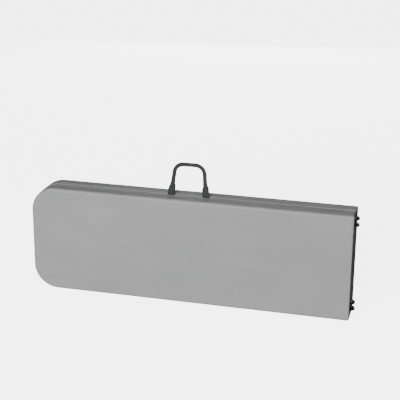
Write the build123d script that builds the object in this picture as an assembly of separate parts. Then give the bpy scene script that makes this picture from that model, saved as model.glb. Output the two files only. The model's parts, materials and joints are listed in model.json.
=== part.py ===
from build123d import *

import os
from math import atan2, degrees, hypot

# A fold-in-half table top of bench width, folded shut and standing on its long edge.
# X runs along the length, with the rounded outer end at -X and the fold at +X.
# Y runs through the thickness: the front half is at -Y, the rear half at +Y.
# Z runs up, across the width of the top. The origin is at the middle of the base.

# ---- driving dimensions, in millimetres ----
HALF_LENGTH = 915.0
WIDTH = 305.0
HALF_THICKNESS = 45.0
FOLD_GAP = 3.0  # between the rims of the two halves when shut
END_GAP = 0.25  # from each end face to the hinge axis, so that the open ends don't press
OUTER_CORNER = 70.0
FACE_EDGE = 8.0  # rounding of the top face's edge
RIM_EDGE = 5.0  # rounding of the rim where the halves meet
FOLD_EDGE = 3.0  # rounding round the fold end

WALL = 10.0  # side wall, which is hollow
PANEL = 12.0  # the top panel, which is hollow
SKIN = 3.0  # plastic around the hollows
PANEL_HOLLOW_INSET = 6.0

DIMPLE_TOP_R = 5.0
DIMPLE_MOUTH_R = 9.0
DIMPLE_DEPTH = 7.5
DIMPLE_SKIN = 3.0
DIMPLE_PITCH_X = 55.0
DIMPLE_PITCH_Z = 42.0
DIMPLE_COLUMNS = 15
DIMPLE_ROWS = 5

RAIL = 20.0  # square side rail
RAIL_WALL = 1.5
RAIL_FROM_EDGE = 30.0  # rail centre to the long edge
RAIL_START = 48.0  # rail end to the outer end
RAIL_STOP = 34.0  # rail end to the hinge axis
RAIL_RADIUS = 2.0
SCREW_R = 2.0
SCREW_HOLE_R = 2.1
SCREW_HEAD_R = 4.5
SCREW_HEAD = 2.4
SCREWS_PER_RAIL = 5
RECESS_LENGTH = 4.2  # cross recess in a screw head
RECESS_WIDTH = 1.1
RECESS_DEPTH = 1.4
SCREW_BOSS_R = 6.0

KNUCKLE_R = 10.5
HINGE_PLATE = 2.5
HINGE_LAP = 70.0  # far end of a hinge plate to the hinge axis
PIN_R = 4.0
PIN_FIT = 0.05
PIN_HEAD_R = 6.5
PIN_HEAD = 2.5
WASHER = 1.3
WASHER_R = 8.5
NOTCH_HALF = 17.0
NOTCH_DEPTH = 18.5

LEG_PIVOT_FROM_END = 120.0
LEG_PIVOT_DEPTH = 16.0  # below the rim
LEG_LENGTH = 400.0  # pivot to the centre of the foot bar
LEG_TUBE_R = 12.5
TUBE_WALL = 1.2
LEG_BEND = 40.0
LEG_FROM_EDGE = 58.0
PIVOT_PLATE = 3.0
PIVOT_END_GAP = 1.0
STUB_R = 6.0
STUB_LENGTH = 13.0
BUSH_LENGTH = 14.0
FOOT_R = 15.0
FOOT_LENGTH = 26.0
FOOT_FROM_MIDDLE = 32.0
CROSS_BAR_R = 8.0

BRACE_ON_LEG = 150.0  # leg pivot to the cross bar
BRACE_ON_TOP = 250.0  # leg pivot to the brace bracket
LINK_HALF_WIDTH = 8.0
LINK = 4.0
LUG = 2.5
LUG_FROM_MIDDLE = 2.6
BRACE_PIN_R = 3.0
BRACE_PIN_HEAD_R = 5.0
BRACE_PIN_HEAD = 1.5
ELBOW_R = 5.0
FORK = 2.5
FORK_FROM_MIDDLE = 7.5
FORK_HALF_WIDTH = 9.0
FORK_EAR_R = 12.0
FORK_CLEARANCE = 0.3

STRAP_SPACING = 99.0
STRAP_OFFSET = -8.0  # the strap sits a little towards the outer end
STRAP_WIDTH = 20.0
STRAP_GRIP_WIDTH = 10.0
STRAP_THICKNESS = 2.4
STRAP_GRIP_THICKNESS = 5.0
STRAP_HEIGHT = 86.0  # base to the middle of the grip
STRAP_BEND = 26.0
STRAP_LEAN = {-1: 9.5, 1: 3.5}  # how far each leg leans in, on the outer and the fold side
STRAP_PIVOT_Z = WIDTH + 3.5
STRAP_TAB = 28.0
ANCHOR_PLATE = 2.0

# ---- places worked out from them ----
HINGE_X = (HALF_LENGTH - KNUCKLE_R) / 2
OUTER_X = HINGE_X - HALF_LENGTH
END_X = HINGE_X - END_GAP
MIDDLE_X = (OUTER_X + HINGE_X) / 2
MIDDLE_Z = WIDTH / 2
RIM_Y = FOLD_GAP / 2
FACE_Y = RIM_Y + HALF_THICKNESS
FLOOR_Y = FACE_Y - PANEL
RAIL_Y = FLOOR_Y - RAIL / 2
RAILS_Z = {"upper": WIDTH - RAIL_FROM_EDGE, "lower": RAIL_FROM_EDGE}
PIVOT_X = OUTER_X + LEG_PIVOT_FROM_END
PIVOT_Y = RIM_Y + LEG_PIVOT_DEPTH
LEGS_Z = {"upper": WIDTH - LEG_FROM_EDGE, "lower": LEG_FROM_EDGE}
PIVOT_PLATE_Z = RAIL_FROM_EDGE + RAIL / 2 + PIVOT_PLATE
CROSS_X = PIVOT_X + BRACE_ON_LEG
BRACKET_X = PIVOT_X + BRACE_ON_TOP
BRACE_SPAN = hypot(BRACE_ON_LEG, BRACE_ON_TOP)
FORK_LENGTH = (BRACE_SPAN + BRACE_ON_TOP - BRACE_ON_LEG) / 2
LINK_LENGTH = BRACE_SPAN - FORK_LENGTH
ELBOW_X = BRACKET_X + LINK_LENGTH
LINK_TURN = 180 - degrees(atan2(BRACE_ON_LEG, BRACE_ON_TOP))
FORK_TURN = 90 + degrees(atan2(BRACE_ON_LEG, BRACE_ON_TOP))


def block(x0, x1, y0, y1, z0, z1):
    return Pos((x0 + x1) / 2, (y0 + y1) / 2, (z0 + z1) / 2) * Box(x1 - x0, y1 - y0, z1 - z0)


def rod_z(x, y, z0, z1, r):
    """A cylinder along Z."""
    return Pos(x, y, (z0 + z1) / 2) * Cylinder(r, z1 - z0)


def rod_y(x, z, y0, y1, r):
    """A cylinder along Y."""
    return Pos(x, (y0 + y1) / 2, z) * Rot(90, 0, 0) * Cylinder(r, y1 - y0)


def plate_z(face_sketch, z0, z1):
    """A flat sketch in X and Y made solid between two heights."""
    return Pos(0, 0, z0) * extrude(face_sketch, z1 - z0)


def hull_sketch(*pieces):
    """The tight band around some circles, given as (x, y, r)."""
    edges = []
    for x, y, r in pieces:
        edges += (Pos(x, y) * Circle(r)).edges()
    return make_hull(edges)


# Each half is modelled on the rear side, with its face at +Y, and the front one is its mirror.


def outline(inset, y0, y1, fold_end):
    """The half's outline, moved in by inset and cut at fold_end, made solid from y0 to y1."""
    body = block(OUTER_X + inset, fold_end, y0, y1, inset, WIDTH - inset)
    corners = body.edges().filter_by(Axis.Y).group_by(Axis.X)[0]
    return fillet(corners, OUTER_CORNER - inset)


def screw_points():
    """Places of the rail screws, as (x, z)."""
    first = OUTER_X + RAIL_START + 22
    last = HINGE_X - HINGE_LAP - 28
    step = (last - first) / (SCREWS_PER_RAIL - 1)
    return [(first + i * step, z) for z in RAILS_Z.values() for i in range(SCREWS_PER_RAIL)]


def bracket_screw_points():
    return [(BRACKET_X - 15, MIDDLE_Z + 11), (BRACKET_X - 15, MIDDLE_Z - 11),
            (BRACKET_X + 15, MIDDLE_Z + 11), (BRACKET_X + 15, MIDDLE_Z - 11)]


def anchor_points():
    middle = MIDDLE_X + STRAP_OFFSET
    return [middle - STRAP_SPACING / 2, middle + STRAP_SPACING / 2]


def dimple_points():
    """The grid of tack-off dimples, leaving out those under the brace bracket."""
    points = []
    for i in range(DIMPLE_COLUMNS):
        for j in range(DIMPLE_ROWS):
            x = MIDDLE_X + (i - (DIMPLE_COLUMNS - 1) / 2) * DIMPLE_PITCH_X
            z = MIDDLE_Z + (j - (DIMPLE_ROWS - 1) / 2) * DIMPLE_PITCH_Z
            if abs(x - BRACKET_X) > 38 or abs(z - MIDDLE_Z) > 30:
                points.append((x, z))
    return points


def dimple(x, z, extra):
    """A cone that narrows towards the face, made larger all round by extra."""
    depth = DIMPLE_DEPTH + extra
    cone = Cone(DIMPLE_MOUTH_R + extra, DIMPLE_TOP_R + extra, depth)
    return Pos(x, FLOOR_Y + depth / 2, z) * Rot(-90, 0, 0) * cone


def hollow():
    """The sealed air space in the panel and the side walls."""
    panel = outline(PANEL_HOLLOW_INSET, FLOOR_Y + SKIN, FACE_Y - SKIN, END_X - PANEL_HOLLOW_INSET)
    walls = outline(SKIN, RIM_Y + RIM_EDGE, FLOOR_Y + SKIN, END_X - SKIN)
    walls -= outline(WALL - SKIN, 0, FACE_Y, END_X - WALL + SKIN)
    posts = [dimple(x, z, DIMPLE_SKIN) for x, z in dimple_points()]
    for x, z in screw_points() + bracket_screw_points():
        posts.append(rod_y(x, z, FLOOR_Y, FACE_Y, SCREW_BOSS_R))
    for z in RAILS_Z.values():
        solid_half = NOTCH_HALF + SKIN
        posts.append(block(END_X - WALL, HINGE_X, 0, FLOOR_Y, z - solid_half, z + solid_half))
    for x in anchor_points():
        posts.append(block(x - 14, x + 14, 0, FLOOR_Y, WIDTH - WALL, WIDTH))
    return panel + walls - posts


def shell():
    """A moulded half: a panel with a wall all round, notched at the fold end for the hinges."""
    run_out = 30.0
    body = outline(0, RIM_Y, FACE_Y, END_X + run_out)
    face = body.faces().sort_by(Axis.Y)[-1].edges().sort_by(Axis.X)[:-1]
    body = fillet(face, FACE_EDGE)
    rim = body.faces().sort_by(Axis.Y)[0].edges().sort_by(Axis.X)[:-1]
    body = fillet(rim, RIM_EDGE)
    body &= block(OUTER_X - 1, END_X, 0, FACE_Y + 1, -1, WIDTH + 1)
    body = fillet(body.faces().sort_by(Axis.X)[-1].edges(), FOLD_EDGE)
    body -= outline(WALL, 0, FLOOR_Y, END_X - WALL)
    for z in RAILS_Z.values():
        body -= block(END_X - WALL - 1, HINGE_X, 0, RIM_Y + NOTCH_DEPTH, z - NOTCH_HALF, z + NOTCH_HALF)
    body -= hollow()
    cuts = [dimple(x, z, 0) for x, z in dimple_points()]
    for x, z in screw_points() + bracket_screw_points():
        cuts.append(rod_y(x, z, FLOOR_Y - 1, FACE_Y - SKIN - 0.5, SCREW_HOLE_R))
    return body - cuts


def rail(z):
    """A square steel tube along one long edge, with screw holes."""
    x0, x1 = OUTER_X + RAIL_START, HINGE_X - RAIL_STOP
    half, inner = RAIL / 2, RAIL / 2 - RAIL_WALL
    tube = block(x0, x1, RAIL_Y - half, RAIL_Y + half, z - half, z + half)
    tube = fillet(tube.edges().filter_by(Axis.X), RAIL_RADIUS)
    tube -= block(x0 - 1, x1 + 1, RAIL_Y - inner, RAIL_Y + inner, z - inner, z + inner)
    for x, screw_z in screw_points():
        if screw_z == z:
            tube -= rod_y(x, z, 0, FACE_Y, SCREW_HOLE_R)
    return tube


def screw(x, z, head_y, tip_y):
    """A pan-head screw along Y, from under its head to its tip."""
    head = rod_y(x, z, head_y - SCREW_HEAD, head_y, SCREW_HEAD_R)
    rim = head.faces().sort_by(Axis.Y)[0].edges()
    head = fillet(rim, 1.2)
    top = head_y - SCREW_HEAD
    for wide, tall in ((RECESS_LENGTH, RECESS_WIDTH), (RECESS_WIDTH, RECESS_LENGTH)):
        head -= block(x - wide / 2, x + wide / 2, top, top + RECESS_DEPTH, z - tall / 2, z + tall / 2)
    return head + rod_y(x, z, head_y, tip_y, SCREW_R)


def rail_screws():
    return [screw(x, z, FLOOR_Y - RAIL, FACE_Y - SKIN - 1) for x, z in screw_points()]


def hinge_plates(z_middle, inner, web_y0, web_y1):
    """Two plates, each a web along the rail with a neck that narrows to an ear round the fold axis."""
    root_length = 2.0
    web_length = HINGE_LAP - RAIL_STOP + root_length
    web_y = (web_y0 + web_y1) / 2
    web_width = web_y1 - web_y0
    web = Pos(HINGE_X - HINGE_LAP + web_length / 2, web_y) * Rectangle(web_length, web_width)
    root = Pos(HINGE_X - RAIL_STOP + root_length / 2, web_y) * Rectangle(root_length, web_width)
    ear = Pos(HINGE_X, 0) * Circle(KNUCKLE_R)
    shape = web + make_hull(root.edges() + ear.edges())
    shape -= Pos(HINGE_X, 0) * Circle(PIN_R + PIN_FIT)
    upper = plate_z(shape, z_middle + inner, z_middle + inner + HINGE_PLATE)
    lower = plate_z(shape, z_middle - inner - HINGE_PLATE, z_middle - inner)
    return upper, lower


def hinge_fork(z):
    """The outer, front half of a hinge: it wraps the rail, with a strip across the rail's back."""
    half = RAIL / 2
    back = RAIL_Y - half
    upper, lower = hinge_plates(z, half, back - HINGE_PLATE, FLOOR_Y - 1)
    x0, x1 = HINGE_X - HINGE_LAP, HINGE_X - RAIL_STOP - 12
    strip = block(x0, x1, back - HINGE_PLATE, back, z - half - 1, z + half + 1)
    return upper + lower + strip


def hinge_tongue(z):
    """The inner, rear half of a hinge: it fits inside the rail's end, with a strip between its plates."""
    inner = RAIL / 2 - RAIL_WALL
    upper, lower = hinge_plates(z, inner - HINGE_PLATE, RAIL_Y - inner + 1, RAIL_Y + inner - 1)
    x0, x1 = HINGE_X - HINGE_LAP + 4, HINGE_X - RAIL_STOP - 6
    y0 = RAIL_Y + inner - 1 - HINGE_PLATE
    strip = block(x0, x1, y0, y0 + HINGE_PLATE, z - inner + 0.5, z + inner - 0.5)
    return upper + lower + strip


def hinge_pin(z):
    end = RAIL / 2 + HINGE_PLATE
    pin = rod_z(HINGE_X, 0, z - end, z + end, PIN_R)
    top = rod_z(HINGE_X, 0, z + end, z + end + PIN_HEAD, PIN_HEAD_R)
    foot = rod_z(HINGE_X, 0, z - end - PIN_HEAD, z - end, PIN_HEAD_R)
    top = fillet(top.faces().sort_by(Axis.Z)[-1].edges(), 1.8)
    foot = fillet(foot.faces().sort_by(Axis.Z)[0].edges(), 1.8)
    return pin + top + foot


def hinge_washers(z):
    gap = (RAIL_WALL - WASHER) / 2
    start = RAIL / 2 - RAIL_WALL + gap
    ring = Circle(WASHER_R) - Circle(PIN_R + PIN_FIT)
    ring = Pos(HINGE_X, 0) * ring
    return [plate_z(ring, z + start, z + start + WASHER), plate_z(ring, z - start - WASHER, z - start)]


def pivot_bracket(side):
    """A plate welded to the rail's inner side, with the stub pin that carries the leg."""
    foot_y = FLOOR_Y - 4
    ear = hull_sketch((PIVOT_X, PIVOT_Y, 11.0), (PIVOT_X - 22, foot_y, 3.0), (PIVOT_X + 22, foot_y, 3.0))
    z0 = PIVOT_PLATE_Z - PIVOT_PLATE
    bracket = plate_z(ear, z0, PIVOT_PLATE_Z)
    bracket += rod_z(PIVOT_X, PIVOT_Y, PIVOT_PLATE_Z, PIVOT_PLATE_Z + STUB_LENGTH, STUB_R)
    if side == "upper":
        bracket = mirror(bracket, Plane.XY.offset(MIDDLE_Z))
    return bracket


def leg_frame():
    """The U of bent tube: two legs and the foot bar."""
    low, high = LEGS_Z["lower"], LEGS_Z["upper"]
    foot_x = PIVOT_X + LEG_LENGTH
    path = FilletPolyline(
        (PIVOT_X, PIVOT_Y, low),
        (foot_x, PIVOT_Y, low),
        (foot_x, PIVOT_Y, high),
        (PIVOT_X, PIVOT_Y, high),
        radius=LEG_BEND,
    )
    start = Plane(origin=(PIVOT_X, PIVOT_Y, low), z_dir=(1, 0, 0))
    outer = sweep(start * Circle(LEG_TUBE_R), path=path)
    inner = sweep(start * Circle(LEG_TUBE_R - TUBE_WALL), path=path)
    socket = rod_z(PIVOT_X, PIVOT_Y, 0, WIDTH, LEG_TUBE_R)
    return outer - inner - socket


def leg_pivot_tube():
    z0 = PIVOT_PLATE_Z + PIVOT_END_GAP
    tube = rod_z(PIVOT_X, PIVOT_Y, z0, WIDTH - z0, LEG_TUBE_R)
    return tube - rod_z(PIVOT_X, PIVOT_Y, z0 - 1, WIDTH - z0 + 1, LEG_TUBE_R - TUBE_WALL)


def leg_bush(side):
    z0 = PIVOT_PLATE_Z + PIVOT_END_GAP
    bush = rod_z(PIVOT_X, PIVOT_Y, z0, z0 + BUSH_LENGTH, LEG_TUBE_R - TUBE_WALL)
    bush += rod_z(PIVOT_X, PIVOT_Y, z0 - PIVOT_END_GAP + 0.2, z0, LEG_TUBE_R - 1)
    bush -= rod_z(PIVOT_X, PIVOT_Y, 0, z0 + BUSH_LENGTH + 1, STUB_R + PIN_FIT)
    if side == "upper":
        bush = mirror(bush, Plane.XY.offset(MIDDLE_Z))
    return bush


def leg_cross_bar():
    low, high = LEGS_Z["lower"], LEGS_Z["upper"]
    bar = rod_z(CROSS_X, PIVOT_Y, low, high, CROSS_BAR_R)
    bar -= rod_z(CROSS_X, PIVOT_Y, low, high, CROSS_BAR_R - TUBE_WALL)
    for z in (low, high):
        bar -= Pos(CROSS_X, PIVOT_Y, z) * Rot(0, 90, 0) * Cylinder(LEG_TUBE_R, 60)
    return bar


def leg_foot(side):
    """A plastic sleeve with rounded ends on the foot bar."""
    x = PIVOT_X + LEG_LENGTH
    z0 = MIDDLE_Z - FOOT_FROM_MIDDLE - FOOT_LENGTH / 2
    z1 = z0 + FOOT_LENGTH
    sleeve = rod_z(x, PIVOT_Y, z0, z1, FOOT_R)
    sleeve = fillet(sleeve.edges(), 2.0)
    sleeve -= rod_z(x, PIVOT_Y, z0 - 1, z1 + 1, LEG_TUBE_R)
    if side == "upper":
        sleeve = mirror(sleeve, Plane.XY.offset(MIDDLE_Z))
    return sleeve


def brace_plate():
    """The base plate on the underside that carries the brace."""
    plate = block(BRACKET_X - 22, BRACKET_X + 22, FLOOR_Y - LUG, FLOOR_Y, MIDDLE_Z - 17, MIDDLE_Z + 17)
    plate = fillet(plate.edges().filter_by(Axis.Y), 4)
    for x, z in bracket_screw_points():
        plate -= rod_y(x, z, 0, FACE_Y, SCREW_HOLE_R)
    return plate


def brace_lugs():
    """The two lugs welded to the base plate, one on each side of the upper link."""
    foot_y = FLOOR_Y - LUG - 2
    foot = [(BRACKET_X + side * 10, foot_y, 2.0) for side in (-1, 1)]
    lug = hull_sketch((BRACKET_X, PIVOT_Y, LINK_HALF_WIDTH), *foot)
    lug -= Pos(BRACKET_X, PIVOT_Y) * Circle(BRACE_PIN_R + PIN_FIT)
    near = LUG_FROM_MIDDLE
    return [plate_z(lug, MIDDLE_Z + near, MIDDLE_Z + near + LUG),
            plate_z(lug, MIDDLE_Z - near - LUG, MIDDLE_Z - near)]


def bracket_screws():
    return [screw(x, z, FLOOR_Y - LUG, FACE_Y - SKIN - 1) for x, z in bracket_screw_points()]


def brace_pin():
    end = LUG_FROM_MIDDLE + LUG
    pin = rod_z(BRACKET_X, PIVOT_Y, MIDDLE_Z - end, MIDDLE_Z + end, BRACE_PIN_R)
    for z in (MIDDLE_Z + end, MIDDLE_Z - end - BRACE_PIN_HEAD):
        pin += rod_z(BRACKET_X, PIVOT_Y, z, z + BRACE_PIN_HEAD, BRACE_PIN_HEAD_R)
    return pin


def brace_link():
    """The upper link, a flat bar from the bracket to the elbow."""
    bar = hull_sketch((BRACKET_X, PIVOT_Y, LINK_HALF_WIDTH), (ELBOW_X, PIVOT_Y, LINK_HALF_WIDTH))
    bar -= Pos(BRACKET_X, PIVOT_Y) * Circle(BRACE_PIN_R + PIN_FIT)
    bar -= Pos(ELBOW_X, PIVOT_Y) * Circle(ELBOW_R)
    return plate_z(bar, MIDDLE_Z - LINK / 2, MIDDLE_Z + LINK / 2)


def elbow_spacer():
    """The barrel on the upper link that fills the fork at the elbow."""
    end = FORK_FROM_MIDDLE - FORK_CLEARANCE
    return rod_z(ELBOW_X, PIVOT_Y, MIDDLE_Z - end, MIDDLE_Z + end, ELBOW_R)


def brace_fork():
    """The lower link: two bars joined by a web near the leg's cross bar."""
    bar = hull_sketch((CROSS_X, PIVOT_Y, FORK_EAR_R), (ELBOW_X, PIVOT_Y, FORK_HALF_WIDTH))
    bar -= Pos(CROSS_X, PIVOT_Y) * Circle(CROSS_BAR_R + 0.08)
    bar -= Pos(ELBOW_X, PIVOT_Y) * Circle(BRACE_PIN_R + PIN_FIT)
    near = MIDDLE_Z + FORK_FROM_MIDDLE
    fork = plate_z(bar, near, near + FORK)
    near = MIDDLE_Z - FORK_FROM_MIDDLE
    fork += plate_z(bar, near - FORK, near)
    y1 = PIVOT_Y + FORK_HALF_WIDTH
    reach = FORK_FROM_MIDDLE + 1
    web = block(CROSS_X + 16, CROSS_X + 62, y1 - FORK, y1, MIDDLE_Z - reach, MIDDLE_Z + reach)
    return fork + web


def fork_rivets():
    rivets = []
    for sign in (1, -1):
        z0 = MIDDLE_Z + sign * FORK_FROM_MIDDLE
        z1 = z0 + sign * FORK
        z2 = z1 + sign * BRACE_PIN_HEAD
        shank = rod_z(ELBOW_X, PIVOT_Y, min(z0, z1), max(z0, z1), BRACE_PIN_R)
        rivets.append(shank + rod_z(ELBOW_X, PIVOT_Y, min(z1, z2), max(z1, z2), BRACE_PIN_HEAD_R))
    return rivets


# ---- the strap, which hangs from the front half ----


def strap_ends():
    """The strap's fixed ends: a tab under the side wall that turns up into the gap between the rims."""
    half = STRAP_THICKNESS / 2
    under = WIDTH - WALL
    ends = []
    for x in anchor_points():
        x0, x1 = x - STRAP_WIDTH / 2, x + STRAP_WIDTH / 2
        tab = block(x0, x1, -RIM_Y - STRAP_TAB, half, under - STRAP_THICKNESS, under)
        rise = block(x0, x1, -half, half, under - STRAP_THICKNESS, STRAP_PIVOT_Z - 2 * half)
        end = tab + rise
        corner = end.edges().filter_by(Axis.X).sort_by(Axis.Z)[:2].sort_by(Axis.Y)[-1]
        end = fillet(corner, 2.0)
        ends.append(end - anchor_hole(x))
    return ends


def anchor_hole(x):
    y = -RIM_Y - STRAP_TAB / 2 - 4
    return rod_z(x, y, WIDTH - WALL - 6, WIDTH - 2.5, SCREW_HOLE_R)


def anchor_plate(x):
    y = -RIM_Y - STRAP_TAB / 2 - 4
    z1 = WIDTH - WALL - STRAP_THICKNESS
    plate = block(x - 9, x + 9, y - 7, y + 7, z1 - ANCHOR_PLATE, z1)
    return fillet(plate.edges().filter_by(Axis.Z), 2.5) - anchor_hole(x)


def anchor_screw(x):
    y = -RIM_Y - STRAP_TAB / 2 - 4
    z1 = WIDTH - WALL - STRAP_THICKNESS - ANCHOR_PLATE
    head = fillet(rod_z(x, y, z1 - SCREW_HEAD, z1, SCREW_HEAD_R).faces().sort_by(Axis.Z)[0].edges(), 1.2)
    return head + rod_z(x, y, z1, WIDTH - 3, SCREW_R)


def strap_section(x, z, tilt, width, thickness):
    """A rounded slot across the strap, with the strap running at tilt degrees from +Z towards +X."""
    plane = Plane(origin=(x, 0, z), x_dir=(0, 1, 0), z_dir=Vector(0, 0, 1).rotate(Axis.Y, tilt))
    return plane * RectangleRounded(thickness, width, thickness * 0.45)


def carry_strap():
    """The loop: flat at its feet, folded narrow and thick along the grip."""
    top = STRAP_PIVOT_Z + STRAP_HEIGHT
    knee_z = top - STRAP_BEND
    wide, thin = STRAP_WIDTH, STRAP_THICKNESS
    narrow, thick = STRAP_GRIP_WIDTH, STRAP_GRIP_THICKNESS
    knees = []
    loop = None
    for sign, foot in zip((-1, 1), anchor_points()):
        lean = STRAP_LEAN[sign]
        knee = foot - sign * lean
        knees.append(knee)
        part_way = 36.0
        neck = foot - sign * lean * part_way / (STRAP_HEIGHT - STRAP_BEND)
        tilt = -sign * degrees(atan2(lean, STRAP_HEIGHT - STRAP_BEND))
        leg = loft([
            strap_section(foot, STRAP_PIVOT_Z, tilt, wide, thin),
            strap_section(neck, STRAP_PIVOT_Z + part_way, tilt, narrow + 1, thick - 1),
            strap_section(knee, knee_z, 0, narrow, thick),
        ])
        loop = leg if loop is None else loop + leg
    path = FilletPolyline(
        (knees[0], 0, knee_z),
        (knees[0], 0, top),
        (knees[1], 0, top),
        (knees[1], 0, knee_z),
        radius=STRAP_BEND - 1,
    )
    return loop + sweep(strap_section(knees[0], knee_z, 0, narrow, thick), path=path)


def cut_anchor_holes(front_shell):
    for x in anchor_points():
        front_shell -= anchor_hole(x)
    return front_shell


def front(shape):
    """The same piece on the front half, mirrored through the fold plane."""
    if isinstance(shape, (list, tuple)):
        return [mirror(one, Plane.XZ) for one in shape]
    return mirror(shape, Plane.XZ)


def export(name, shape):
    if isinstance(shape, (list, tuple)):
        shape = Compound(children=list(shape))
    export_step(shape, f"parts/{name}.step")


def export_half(name, side):
    """Everything that both halves have, with side placing it on the front or the rear."""
    export(f"{name}_rail_screws", side(rail_screws()))
    export(f"{name}_brace_plate", side(brace_plate()))
    export(f"{name}_brace_lugs", side(brace_lugs()))
    export(f"{name}_bracket_screws", side(bracket_screws()))
    export(f"{name}_brace_pin", side(brace_pin()))
    export(f"{name}_brace_link", side(brace_link()))
    export(f"{name}_elbow_spacer", side(elbow_spacer()))
    export(f"{name}_brace_fork", side(brace_fork()))
    export(f"{name}_fork_rivets", side(fork_rivets()))
    export(f"{name}_leg_frame", side(leg_frame()))
    export(f"{name}_leg_pivot_tube", side(leg_pivot_tube()))
    export(f"{name}_leg_cross_bar", side(leg_cross_bar()))
    for edge, z in RAILS_Z.items():
        export(f"{name}_rail_{edge}", side(rail(z)))
        export(f"{name}_pivot_bracket_{edge}", side(pivot_bracket(edge)))
        export(f"{name}_leg_bush_{edge}", side(leg_bush(edge)))
        export(f"{name}_foot_sleeve_{edge}", side(leg_foot(edge)))


os.makedirs("parts", exist_ok=True)

rear_shell = shell()
export("rear_top", rear_shell)
export("front_top", cut_anchor_holes(front(rear_shell)))
export_half("rear", lambda shape: shape)
export_half("front", front)
for edge, z in RAILS_Z.items():
    export(f"hinge_fork_{edge}", front(hinge_fork(z)))
    export(f"hinge_tongue_{edge}", hinge_tongue(z))
    export(f"hinge_pin_{edge}", hinge_pin(z))
    export(f"hinge_washers_{edge}", hinge_washers(z))
export("strap_ends", strap_ends())
export("strap_anchor_plates", [anchor_plate(x) for x in anchor_points()])
export("strap_anchor_screws", [anchor_screw(x) for x in anchor_points()])
export("carry_strap", carry_strap())

print("hinge axis x", HINGE_X)
print("leg pivot", PIVOT_X, PIVOT_Y, "cross bar x", CROSS_X, "brace bracket x", BRACKET_X)
print("link turn", round(LINK_TURN, 3), "fork turn", round(FORK_TURN, 3))
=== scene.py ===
import json
import math

import bpy
from mathutils import Matrix, Vector


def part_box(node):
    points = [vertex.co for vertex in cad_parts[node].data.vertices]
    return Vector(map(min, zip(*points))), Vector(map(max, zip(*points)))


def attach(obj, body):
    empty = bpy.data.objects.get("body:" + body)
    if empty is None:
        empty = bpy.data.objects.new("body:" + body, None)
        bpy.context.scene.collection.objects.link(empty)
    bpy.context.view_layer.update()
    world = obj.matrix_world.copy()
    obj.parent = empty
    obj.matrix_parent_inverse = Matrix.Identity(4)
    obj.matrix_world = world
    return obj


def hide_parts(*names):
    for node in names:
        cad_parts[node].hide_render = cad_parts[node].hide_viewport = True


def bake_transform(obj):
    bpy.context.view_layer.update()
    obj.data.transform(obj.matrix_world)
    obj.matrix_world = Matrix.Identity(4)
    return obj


# Looks for the folded bench-width table: moulded plastic, powder-coated steel, zinc and woven webbing.

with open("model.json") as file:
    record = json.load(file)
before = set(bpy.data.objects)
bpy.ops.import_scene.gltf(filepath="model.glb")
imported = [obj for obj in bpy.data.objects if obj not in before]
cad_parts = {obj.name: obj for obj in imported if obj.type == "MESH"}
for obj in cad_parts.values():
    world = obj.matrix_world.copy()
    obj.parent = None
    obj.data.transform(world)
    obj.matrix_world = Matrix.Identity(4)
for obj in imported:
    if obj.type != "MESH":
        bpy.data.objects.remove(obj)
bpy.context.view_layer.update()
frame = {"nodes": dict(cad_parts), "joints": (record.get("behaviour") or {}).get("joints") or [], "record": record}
MM = 0.001

# ---- places that come from the frame ----
TOP_LOW, TOP_HIGH = (Vector(c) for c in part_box("rear_top"))
FRONT_LOW, FRONT_HIGH = (Vector(c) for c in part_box("front_top"))
STRAP_LOW, STRAP_HIGH = (Vector(c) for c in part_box("carry_strap"))
ENDS_LOW, ENDS_HIGH = (Vector(c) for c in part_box("strap_ends"))
JOINTS = {j["name"]: j for j in frame["joints"]}
WIDTH = TOP_HIGH.z


# ---- node helpers ----


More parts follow.
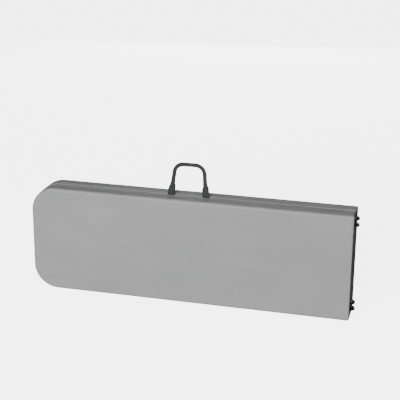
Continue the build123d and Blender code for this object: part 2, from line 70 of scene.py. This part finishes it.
class Graph:
    """A material's node tree, with short calls for the nodes that repeat."""

    def __init__(self, name):
        self.material = bpy.data.materials.new(name)
        self.material.use_nodes = True
        self.tree = self.material.node_tree
        self.shader = self.tree.nodes["Principled BSDF"]

    def add(self, kind, values=None, **settings):
        node = self.tree.nodes.new(kind)
        for key, value in settings.items():
            setattr(node, key, value)
        for key, value in (values or {}).items():
            if isinstance(value, bpy.types.NodeSocket):
                self.tree.links.new(value, node.inputs[key])
            else:
                node.inputs[key].default_value = value
        return node

    def coordinates(self, kind="Object", scale=(1, 1, 1)):
        source = self.add("ShaderNodeTexCoord").outputs[kind]
        return self.add("ShaderNodeMapping", {"Vector": source, "Scale": scale}).outputs[0]

    def noise(self, vector, scale, detail=3.0, roughness=0.55):
        values = {"Vector": vector, "Scale": scale, "Detail": detail, "Roughness": roughness}
        return self.add("ShaderNodeTexNoise", values).outputs["Fac"]

    def cells(self, vector, scale, feature="F1"):
        node = self.add("ShaderNodeTexVoronoi", {"Vector": vector, "Scale": scale}, feature=feature)
        return node.outputs["Distance"]

    def ramp(self, value, *stops):
        node = self.add("ShaderNodeValToRGB", {"Fac": value})
        elements = node.color_ramp.elements
        while len(elements) < len(stops):
            elements.new(0.5)
        for element, (place, colour) in zip(elements, stops):
            element.position = place
            if isinstance(colour, (int, float)):
                colour = (colour, colour, colour)
            element.color = (*colour, 1)
        return node.outputs["Color"]

    def mix(self, factor, a, b, blend="MIX"):
        node = self.add("ShaderNodeMix", data_type="RGBA", blend_type=blend)
        for socket, value in zip((node.inputs[0], node.inputs[6], node.inputs[7]), (factor, a, b)):
            if isinstance(value, bpy.types.NodeSocket):
                self.tree.links.new(value, socket)
            elif isinstance(value, (int, float)):
                socket.default_value = value
            else:
                socket.default_value = (*value, 1)
        return node.outputs[2]

    def math(self, operation, a, b=0.0, c=0.0):
        node = self.add("ShaderNodeMath", operation=operation)
        for socket, value in zip(node.inputs, (a, b, c)):
            if isinstance(value, bpy.types.NodeSocket):
                self.tree.links.new(value, socket)
            else:
                socket.default_value = value
        return node.outputs[0]

    def bump(self, height, distance, strength=1.0, normal=None):
        values = {"Height": height, "Distance": distance, "Strength": strength}
        if normal is not None:
            values["Normal"] = normal
        return self.add("ShaderNodeBump", values).outputs[0]

    def finish(self, **sockets):
        for name, value in sockets.items():
            socket = self.shader.inputs[name.replace("_", " ")]
            if isinstance(value, bpy.types.NodeSocket):
                self.tree.links.new(value, socket)
            elif isinstance(value, tuple):
                socket.default_value = (*value, 1)
            else:
                socket.default_value = value
        return self.material


def moulded_plastic():
    """Grey blow-moulded polyethylene: a fine pebble, faint flow mottling, rubbed and dusty at the base."""
    g = Graph("moulded_plastic")
    place = g.coordinates()
    flow = g.noise(g.coordinates(scale=(0.35, 1, 1)), 16, 4)
    colour = g.ramp(flow, (0.3, (0.375, 0.377, 0.384)), (0.7, (0.425, 0.425, 0.428)))
    speck = g.ramp(g.noise(place, 700, 2), (0.42, 0.93), (0.6, 1.0))
    colour = g.mix(0.6, colour, speck, "MULTIPLY")
    height = g.add("ShaderNodeSeparateXYZ", {"Vector": place}).outputs["Z"]
    rub_zone = g.add(
        "ShaderNodeMapRange",
        {"Value": height, "From Min": 0.0, "From Max": 0.022, "To Min": 1.0, "To Max": 0.0},
        interpolation_type="SMOOTHSTEP",
    ).outputs[0]
    rub = g.ramp(g.noise(g.coordinates(scale=(1, 3, 3)), 60, 6, 0.7), (0.45, 0.0), (0.7, 1.0))
    rub = g.math("MULTIPLY", g.math("MULTIPLY", rub, rub_zone), 0.5)
    colour = g.mix(rub, colour, (0.52, 0.51, 0.49))
    scratch_field = g.noise(g.coordinates(scale=(6, 40, 40)), 9, 5, 0.65)
    scratch = g.ramp(scratch_field, (0.66, 0.0), (0.7, 1.0))
    colour = g.mix(g.math("MULTIPLY", scratch, 0.10), colour, (0.56, 0.56, 0.56))
    rough = g.ramp(g.noise(place, 45, 4), (0.3, 0.46), (0.7, 0.60))
    pebble = g.ramp(g.cells(place, 620, "SMOOTH_F1"), (0.0, 0.0), (0.7, 1.0))
    wave = g.bump(g.noise(place, 9, 2), 0.0012, 0.5)
    fine = g.bump(pebble, 0.00012, 0.55, wave)
    return g.finish(Base_Color=colour, Roughness=rough, Normal=fine, IOR=1.5, Specular_IOR_Level=0.4)


def powder_coat(name, dark, light, gloss):
    """Powder-coated steel: orange peel, dust in the coat and small chips."""
    g = Graph(name)
    place = g.coordinates()
    colour = g.ramp(g.noise(place, 30, 4), (0.3, dark), (0.72, light))
    chips = g.ramp(g.noise(place, 260, 6, 0.7), (0.73, 0.0), (0.76, 1.0))
    colour = g.mix(g.math("MULTIPLY", chips, 0.55), colour, (0.36, 0.33, 0.30))
    rough = g.ramp(g.noise(place, 130, 3), (0.3, gloss), (0.7, gloss + 0.14))
    peel = g.bump(g.noise(place, 900, 2), 0.00006, 0.6)
    return g.finish(Base_Color=colour, Roughness=rough, Normal=peel)


def zinc_plate():
    """Bright zinc with a soft grain and slight yellow passivation."""
    g = Graph("zinc")
    place = g.coordinates(scale=(1, 1, 7))
    colour = g.ramp(g.noise(place, 120, 4), (0.25, (0.52, 0.52, 0.50)), (0.75, (0.72, 0.73, 0.74)))
    rough = g.ramp(g.noise(place, 300, 4), (0.3, 0.26), (0.7, 0.42))
    grain = g.bump(g.noise(place, 1500, 3), 0.00003, 0.5)
    return g.finish(Base_Color=colour, Roughness=rough, Normal=grain, Metallic=1.0)


def plain_polymer(name, dark, light, gloss, sheen_through=0.0):
    """Injection-moulded plastic: a light satin texture."""
    g = Graph(name)
    place = g.coordinates()
    colour = g.ramp(g.noise(place, 80, 4), (0.3, dark), (0.7, light))
    rough = g.ramp(g.noise(place, 200, 3), (0.3, gloss), (0.7, gloss + 0.12))
    texture = g.bump(g.noise(place, 1800, 2), 0.00004, 0.6)
    return g.finish(Base_Color=colour, Roughness=rough, Normal=texture, Subsurface_Weight=sheen_through)


YARN = 1.55  # across the strap, in strap millimetres
PICK = 2.1  # along it


def webbing():
    """Woven polypropylene: rows of crossing yarns with painted shade between them, in strap coordinates of
    millimetres.
    """
    g = Graph("webbing")
    along = g.add("ShaderNodeUVMap", uv_map="strap").outputs[0]
    part = g.add("ShaderNodeSeparateXYZ", {"Vector": along})
    across, length = part.outputs["X"], part.outputs["Y"]
    column = g.math("FLOOR", g.math("DIVIDE", across, YARN))
    turn = g.math("MULTIPLY", g.math("MODULO", g.math("ADD", column, 100.0), 2.0), 0.5)
    row = g.math("ADD", g.math("DIVIDE", length, PICK), turn)
    row_wave = g.math("ABSOLUTE", g.math("SINE", g.math("MULTIPLY", row, math.pi)))
    column_wave = g.math("ABSOLUTE", g.math("SINE", g.math("MULTIPLY", across, math.pi / YARN)))
    weave = g.math("POWER", g.math("MULTIPLY", row_wave, column_wave), 0.6)
    lint_place = g.add("ShaderNodeMapping", {"Vector": along, "Scale": (9, 2.5, 1)}).outputs[0]
    fuzz = g.noise(lint_place, 1.4, 5, 0.7)
    # painted shade: the colour darkens towards each yarn's edges and in the gaps between yarns, where the weave's
    # relief falls into shade
    tone = g.ramp(weave, (0.05, (0.012, 0.013, 0.013)), (0.8, (0.052, 0.056, 0.055)))
    fade = g.ramp(g.noise(g.coordinates(), 45, 4), (0.3, 0.78), (0.72, 1.18))
    colour = g.mix(1.0, tone, fade, "MULTIPLY")
    lint = g.ramp(fuzz, (0.6, 0.0), (0.78, 1.0))
    colour = g.mix(g.math("MULTIPLY", lint, 0.22), colour, (0.16, 0.17, 0.17))
    relief = g.bump(weave, 0.00035, 0.9)
    relief = g.bump(fuzz, 0.00010, 0.6, relief)
    return g.finish(
        Base_Color=colour,
        Roughness=0.72,
        Normal=relief,
        Sheen_Weight=0.25,
        Sheen_Roughness=0.45,
    )


def weld():
    """Weld bead under the powder coat."""
    g = Graph("weld")
    place = g.coordinates()
    colour = g.ramp(g.noise(place, 200, 4), (0.3, (0.22, 0.22, 0.225)), (0.7, (0.31, 0.31, 0.315)))
    return g.finish(Base_Color=colour, Roughness=0.42, Normal=g.bump(g.noise(place, 700, 3), 0.0002, 0.5))


MATERIALS = {
    "moulded_plastic": moulded_plastic(),
    "black_steel": powder_coat("black_steel", (0.010, 0.010, 0.011), (0.024, 0.024, 0.026), 0.34),
    "grey_steel": powder_coat("grey_steel", (0.235, 0.237, 0.245), (0.315, 0.316, 0.32), 0.32),
    "zinc": zinc_plate(),
    "nylon": plain_polymer("nylon", (0.66, 0.64, 0.57), (0.76, 0.75, 0.69), 0.38, 0.1),
    "black_plastic": plain_polymer("black_plastic", (0.014, 0.014, 0.014), (0.030, 0.030, 0.031), 0.45),
    "webbing": webbing(),
    "weld": weld(),
}


def dress_cad_nodes():
    for part in frame["record"]["subparts"]:
        mesh = frame["nodes"][part["node"]].data
        mesh.materials.clear()
        mesh.materials.append(MATERIALS[part["material_slot"]])


# ---- mesh helpers ----


def mesh_piece(name, vertices, faces, material):
    mesh = bpy.data.meshes.new(name)
    mesh.from_pydata([tuple(v) for v in vertices], [], faces)
    mesh.materials.append(MATERIALS[material])
    mesh.polygons.foreach_set("use_smooth", [True] * len(mesh.polygons))
    mesh.update()
    piece = bpy.data.objects.new(name, mesh)
    bpy.context.scene.collection.objects.link(piece)
    return piece


def tube_along(points, radii, closed, sides=8):
    """Vertices and faces of a tube through the points, with a radius at each."""
    points = [Vector(p) for p in points]
    count = len(points)
    vertices, faces = [], []
    normal = None
    for i, p in enumerate(points):
        ahead = points[(i + 1) % count] if closed or i + 1 < count else p
        behind = points[i - 1] if closed or i > 0 else p
        tangent = (ahead - behind).normalized()
        if normal is None:
            normal = tangent.orthogonal().normalized()
        normal = (normal - tangent * normal.dot(tangent)).normalized()
        side = tangent.cross(normal)
        for k in range(sides):
            a = 2 * math.pi * k / sides
            vertices.append(p + radii[i] * (math.cos(a) * normal + math.sin(a) * side))
    rings = count if closed else count - 1
    for i in range(rings):
        j = (i + 1) % count
        for k in range(sides):
            m = (k + 1) % sides
            faces.append((i * sides + k, i * sides + m, j * sides + m, j * sides + k))
    if not closed:
        faces.append(tuple(reversed(range(sides))))
        faces.append(tuple((count - 1) * sides + k for k in range(sides)))
    return vertices, faces


def join_parts(parts):
    """Several (vertices, faces) as one."""
    vertices, faces = [], []
    for part_vertices, part_faces in parts:
        start = len(vertices)
        vertices += list(part_vertices)
        faces += [tuple(i + start for i in face) for face in part_faces]
    return vertices, faces


# ---- the parting line of each moulded half ----

OUTER_CORNER = 70 * MM
FOLD_CORNER = 3 * MM
PARTING_FROM_RIM = 11 * MM
PARTING_RADIUS = 0.45 * MM


def parting_path(y, step=4 * MM):
    """Points along both long edges and round the outer end at one depth. The fold end has none."""
    x0, x1, z0, z1 = TOP_LOW.x, TOP_HIGH.x - FOLD_CORNER, TOP_LOW.z, TOP_HIGH.z
    points = [Vector((x1, y, z1))]
    steps = int(OUTER_CORNER * math.pi / 2 / step)
    for cz, start in ((z1 - OUTER_CORNER, 90), (z0 + OUTER_CORNER, 180)):
        for i in range(steps + 1):
            a = math.radians(start + 90 * i / steps)
            cx = x0 + OUTER_CORNER
            points.append(Vector((cx + OUTER_CORNER * math.cos(a), y, cz + OUTER_CORNER * math.sin(a))))
    return points + [Vector((x1, y, z0))]


def parting_line(name, body, y):
    points = parting_path(y)
    vertices, faces = tube_along(points, [PARTING_RADIUS] * len(points), False)
    line = mesh_piece(name, vertices, faces, "moulded_plastic")
    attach(line, body)


# ---- weld beads on the leg frames ----

WELD_STEPS = 56
WELD_RADIUS = 1.35
WELD_RIPPLE = 0.3
WELD_RIPPLES = 14


def weld_ring(centre, bar_axis, bar_radius, tube_axis, tube_radius, towards):
    """A rippled bead where a round bar meets the side of a round tube."""
    across = bar_axis.cross(tube_axis).normalized()
    points, radii = [], []
    for i in range(WELD_STEPS):
        a = 2 * math.pi * i / WELD_STEPS
        side = bar_radius * math.sin(a)
        up = bar_radius * math.cos(a)
        reach = math.sqrt(max(tube_radius**2 - side**2, 0.0)) + 0.3 * MM
        points.append(centre + across * side + tube_axis * up + towards * bar_axis * reach)
        radii.append((WELD_RADIUS + WELD_RIPPLE * math.sin(WELD_RIPPLES * a)) * MM)
    return tube_along(points, radii, True)


def leg_welds(name, body, leg_joint, fork_joint, tube, cross_bar):
    """Beads where the legs meet the pivot tube and where the cross bar meets the legs."""
    pivot = Vector(JOINTS[leg_joint]["pos_m"])
    cross = Vector(JOINTS[fork_joint]["pos_m"])
    low, high = (Vector(c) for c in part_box(tube))
    leg_radius = (high.y - low.y) / 2
    bar_low, bar_high = (Vector(c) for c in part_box(cross_bar))
    bar_radius = (bar_high.x - bar_low.x) / 2
    x_axis, z_axis = Vector((1, 0, 0)), Vector((0, 0, 1))
    beads = []
    for z, inward in ((low.z + leg_radius, 1), (high.z - leg_radius, -1)):
        centre = Vector((pivot.x, pivot.y, z))
        beads.append(weld_ring(centre, x_axis, leg_radius * 0.985, z_axis, leg_radius, 1))
        centre = Vector((cross.x, cross.y, z))
        beads.append(weld_ring(centre, z_axis, bar_radius, x_axis, leg_radius, inward))
    piece = mesh_piece(name, *join_parts(beads), "weld")
    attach(piece, body)


# ---- the carry strap ----

WEB_THICKNESS = 1.9 * MM
WEB_WIDTH = 20 * MM
FOLD_LINE = 4.9 * MM  # half the width of the folded grip
FOLD_RADIUS = 1.25 * MM


def ribbon_section(fold):
    """The strap's cross-section as a closed list of (across, out). fold goes from 0, flat, to 1."""
    count = 22
    step = WEB_WIDTH / 2 / count
    bend = math.pi * FOLD_RADIUS

    def heading(u):
        """How far the ribbon has turned at distance u from its middle."""
        over = min(max((u - (FOLD_LINE - FOLD_RADIUS)) / bend, 0.0), 1.0)
        return fold * math.pi * over

    def walk(direction):
        x = y = 0.0
        out = []
        for i in range(count):
            a = heading((i + 0.5) * step)
            x += math.cos(a) * step
            y += math.sin(a) * step
            out.append((direction * x, y, direction, heading((i + 1) * step)))
        return out

    ordered = list(reversed(walk(-1))) + [(0.0, 0.0, 1, 0.0)] + walk(1)
    front, back = [], []
    for x, y, direction, a in ordered:
        nx, ny = -math.sin(a) * direction, math.cos(a)
        t = WEB_THICKNESS / 2
        front.append((x - nx * t, y - ny * t))
        back.append((x + nx * t, y + ny * t))
    lift = -fold * FOLD_RADIUS
    return [(x, y + lift) for x, y in front + list(reversed(back))]


STRAP_BEND = 26 * MM
STRAP_CORNER = 4 * MM
STRAP_FOLD_RUN = 44 * MM  # length over which the strap folds to its grip
RISE_STATIONS = 30
BEND_STATIONS = 12
STRAP_LEAN = {-1: 9.5 * MM, 1: 3.5 * MM}


def strap_side(sign, foot, low_z, top_z):
    """Stations up one side of the strap, from its tab to the end of its bend."""
    corner = STRAP_CORNER
    tab_y = ENDS_LOW.y + 1.0 * MM
    pivot_z = JOINTS["strap_flop"]["pos_m"][2]
    lean = STRAP_LEAN[sign]
    side = []
    for i in range(8):
        side.append((foot, tab_y + (-corner - tab_y) * i / 7, low_z, 0.0))
    for i in range(1, 7):
        a = math.pi / 2 * i / 6
        side.append((foot, -corner + corner * math.sin(a), low_z + corner * (1 - math.cos(a)), 0.0))
    z0, z1 = low_z + corner, top_z - STRAP_BEND
    for i in range(1, RISE_STATIONS + 1):
        z = z0 + (z1 - z0) * i / RISE_STATIONS
        along = min(max((z - pivot_z) / (z1 - pivot_z), 0.0), 1.0)
        fold = min(max((z - pivot_z - STRAP_CORNER) / STRAP_FOLD_RUN, 0.0), 1.0)
        side.append((foot - lean * along, 0.0, z, fold * fold * (3 - 2 * fold)))
    for i in range(1, BEND_STATIONS + 1):
        a = math.pi / 2 * i / BEND_STATIONS
        x = foot - lean - STRAP_BEND * (1 - math.cos(a))
        side.append((x, 0.0, z1 + STRAP_BEND * math.sin(a), 1.0))
    return [(sign * x, y, z, fold) for x, y, z, fold in side]


def strap_path():
    """Stations along the strap: point, and how far it is folded."""
    low_z = ENDS_LOW.z + WEB_THICKNESS / 2 + 0.2 * MM
    top_z = STRAP_HIGH.z - FOLD_LINE - 0.2 * MM
    middle = JOINTS["strap_flop"]["pos_m"][0]
    foot = (ENDS_HIGH.x - ENDS_LOW.x - WEB_WIDTH) / 2
    near = strap_side(1, foot, low_z, top_z)
    far = strap_side(-1, foot, low_z, top_z)
    x0, x1 = near[-1][0], far[-1][0]
    across = [(x0 + (x1 - x0) * i / 8, 0.0, top_z, 1.0) for i in range(1, 8)]
    return [(Vector((middle + x, y, z)), fold) for x, y, z, fold in near + across + far[::-1]]


def strap():
    stations = strap_path()
    count = len(stations)
    vertices, faces, lengths = [], [], [0.0]
    for i in range(1, count):
        lengths.append(lengths[-1] + (stations[i][0] - stations[i - 1][0]).length)
    half_way = lengths[-1] / 2
    for i, (point, fold) in enumerate(stations):
        ahead = stations[min(i + 1, count - 1)][0]
        behind = stations[max(i - 1, 0)][0]
        tangent = (ahead - behind).normalized()
        out = Vector((0, 1, 0)) if abs(tangent.y) < 0.05 else None
        if out is None:
            across = Vector((1, 0, 0)) * (1 if lengths[i] < half_way else -1)
            out = across.cross(tangent) * -1
        across = tangent.cross(out).normalized() * -1
        out = across.cross(tangent).normalized() * -1
        section = ribbon_section(fold)
        for a, o in section:
            vertices.append(point + across * a + out * o)
    sides = len(ribbon_section(0.0))
    for i in range(count - 1):
        for k in range(sides):
            m = (k + 1) % sides
            faces.append((i * sides + k, (i + 1) * sides + k, (i + 1) * sides + m, i * sides + m))
    faces.append(tuple(range(sides)))
    faces.append(tuple(reversed(range((count - 1) * sides, count * sides))))
    piece = mesh_piece("strap_webbing", vertices, faces, "webbing")
    mesh = piece.data
    layer = mesh.uv_layers.new(name="strap")
    per_side = sides // 2
    widths = [WEB_WIDTH * 1000 * (k / (per_side - 1) - 0.5) for k in range(per_side)]
    widths = widths + list(reversed(widths))
    for loop in mesh.loops:
        station, k = divmod(loop.vertex_index, sides)
        layer.data[loop.index].uv = (widths[k] + 30, lengths[station] * 1000)
    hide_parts("carry_strap", "strap_ends")
    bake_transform(piece)


# ---- floor, light and camera ----

FLOOR_GLOW = 5.0
SKY = 0.09
FLOOR_REACH = 12.0
FLOOR_STEPS = 8
FLOOR_Z = -0.0004
WALL_HEIGHT = 9.0
WALL_STEPS = 48

# name, place, size and power of each soft light
LIGHTS = (
    ("key", (-0.7, -4.3, 1.35), (2.2, 1.5), 232),
    ("fill", (1.8, -3.2, 0.5), (1.6, 1.6), 5),
    ("back", (-0.6, 3.6, 0.7), (2.0, 1.2), 20),
)
LIGHT_TARGET = (0, 0, 0.15)


def backing(name, vertices, faces, material, **hidden):
    """A plain surface behind the object. It adds no light to it and shows in no reflection."""
    mesh = bpy.data.meshes.new(name)
    mesh.from_pydata(vertices, [], faces)
    mesh.materials.append(material)
    surface = bpy.data.objects.new(name, mesh)
    bpy.context.scene.collection.objects.link(surface)
    surface.visible_diffuse = False
    surface.visible_glossy = False
    for setting, value in hidden.items():
        setattr(surface, setting, value)


def floor_mesh():
    row = FLOOR_STEPS + 1
    places = [-FLOOR_REACH + 2 * FLOOR_REACH * i / FLOOR_STEPS for i in range(row)]
    vertices = [(x, y, FLOOR_Z) for y in places for x in places]
    faces = [
        (j * row + i, j * row + i + 1, (j + 1) * row + i + 1, (j + 1) * row + i)
        for j in range(FLOOR_STEPS)
        for i in range(FLOOR_STEPS)
    ]
    return vertices, faces


def wall_mesh():
    """A round wall at the floor's edge, so that low side views see no edge."""
    turns = [math.tau * i / WALL_STEPS for i in range(WALL_STEPS)]
    vertices = [
        (FLOOR_REACH * math.cos(a), FLOOR_REACH * math.sin(a), z)
        for z in (FLOOR_Z, WALL_HEIGHT)
        for a in turns
    ]
    faces = []
    for i in range(WALL_STEPS):
        j = (i + 1) % WALL_STEPS
        faces.append((i, j, WALL_STEPS + j, WALL_STEPS + i))
    return vertices, faces


def studio():
    g = Graph("floor")
    tone = g.ramp(g.noise(g.coordinates(), 3, 3), (0.3, 0.86), (0.7, 0.90))
    pale = g.finish(
        Base_Color=tone,
        Roughness=0.9,
        Emission_Color=(1.0, 1.0, 1.0),
        Emission_Strength=FLOOR_GLOW,
    )
    backing("floor", *floor_mesh(), pale)
    backing("backdrop", *wall_mesh(), pale, visible_shadow=False)

    world = bpy.data.worlds.new("studio")
    world.use_nodes = True
    sky = world.node_tree.nodes["Background"].inputs
    sky["Color"].default_value = (1, 1, 1, 1)
    sky["Strength"].default_value = SKY
    bpy.context.scene.world = world

    for name, place, size, power in LIGHTS:
        area_light(name, place, Vector(LIGHT_TARGET), size, power)


def area_light(name, place, target, size, power):
    light = bpy.data.lights.new(name, "AREA")
    light.shape = "RECTANGLE"
    light.size, light.size_y = size
    light.energy = power
    lamp = bpy.data.objects.new(name, light)
    lamp.location = place
    lamp.rotation_euler = (target - Vector(place)).to_track_quat("-Z", "Y").to_euler()
    bpy.context.scene.collection.objects.link(lamp)


# the camera at the photograph's angle, in degrees, metres and millimetres of lens
CAMERA_AZIMUTH = 14.29
CAMERA_ELEVATION = 19.14
CAMERA_ROLL = 0.5
CAMERA_DISTANCE = 3.054
CAMERA_AIM = (0.0231, 0.0558, 0.1393)  # from the middle of the front face
LENS = 99
SENSOR_WIDTH = 36


def camera():
    azimuth = math.radians(CAMERA_AZIMUTH)
    elevation = math.radians(CAMERA_ELEVATION)
    roll = math.radians(CAMERA_ROLL)
    middle = (TOP_LOW.x + TOP_HIGH.x) / 2
    aim_x, aim_y, aim_z = CAMERA_AIM
    target = Vector((middle + aim_x, FRONT_LOW.y + aim_y, WIDTH / 2 + aim_z))
    back = Vector((
        math.sin(azimuth) * math.cos(elevation),
        -math.cos(azimuth) * math.cos(elevation),
        math.sin(elevation),
    ))
    right = Vector((math.cos(azimuth), math.sin(azimuth), 0))
    up = back.cross(right)
    tilted_right = right * math.cos(roll) + up * math.sin(roll)
    tilted_up = up * math.cos(roll) - right * math.sin(roll)
    turn = Matrix((tilted_right, tilted_up, back)).transposed()
    data = bpy.data.cameras.new("camera")
    data.lens = LENS
    data.sensor_width = SENSOR_WIDTH
    eye = bpy.data.objects.new("camera", data)
    eye.matrix_world = Matrix.Translation(target + back * CAMERA_DISTANCE) @ turn.to_4x4()
    bpy.context.scene.collection.objects.link(eye)
    bpy.context.scene.camera = eye


camera()
studio()
dress_cad_nodes()
parting_line("rear_parting_line", "rear_half", TOP_LOW.y + PARTING_FROM_RIM)
parting_line("front_parting_line", "front_half", FRONT_HIGH.y - PARTING_FROM_RIM)
for end in ("front", "rear"):
    leg_welds(
        f"{end}_leg_welds",
        f"{end}_leg",
        f"{end}_leg_pivot",
        f"{end}_fork_pivot",
        f"{end}_leg_frame",
        f"{end}_leg_cross_bar",
    )
strap()
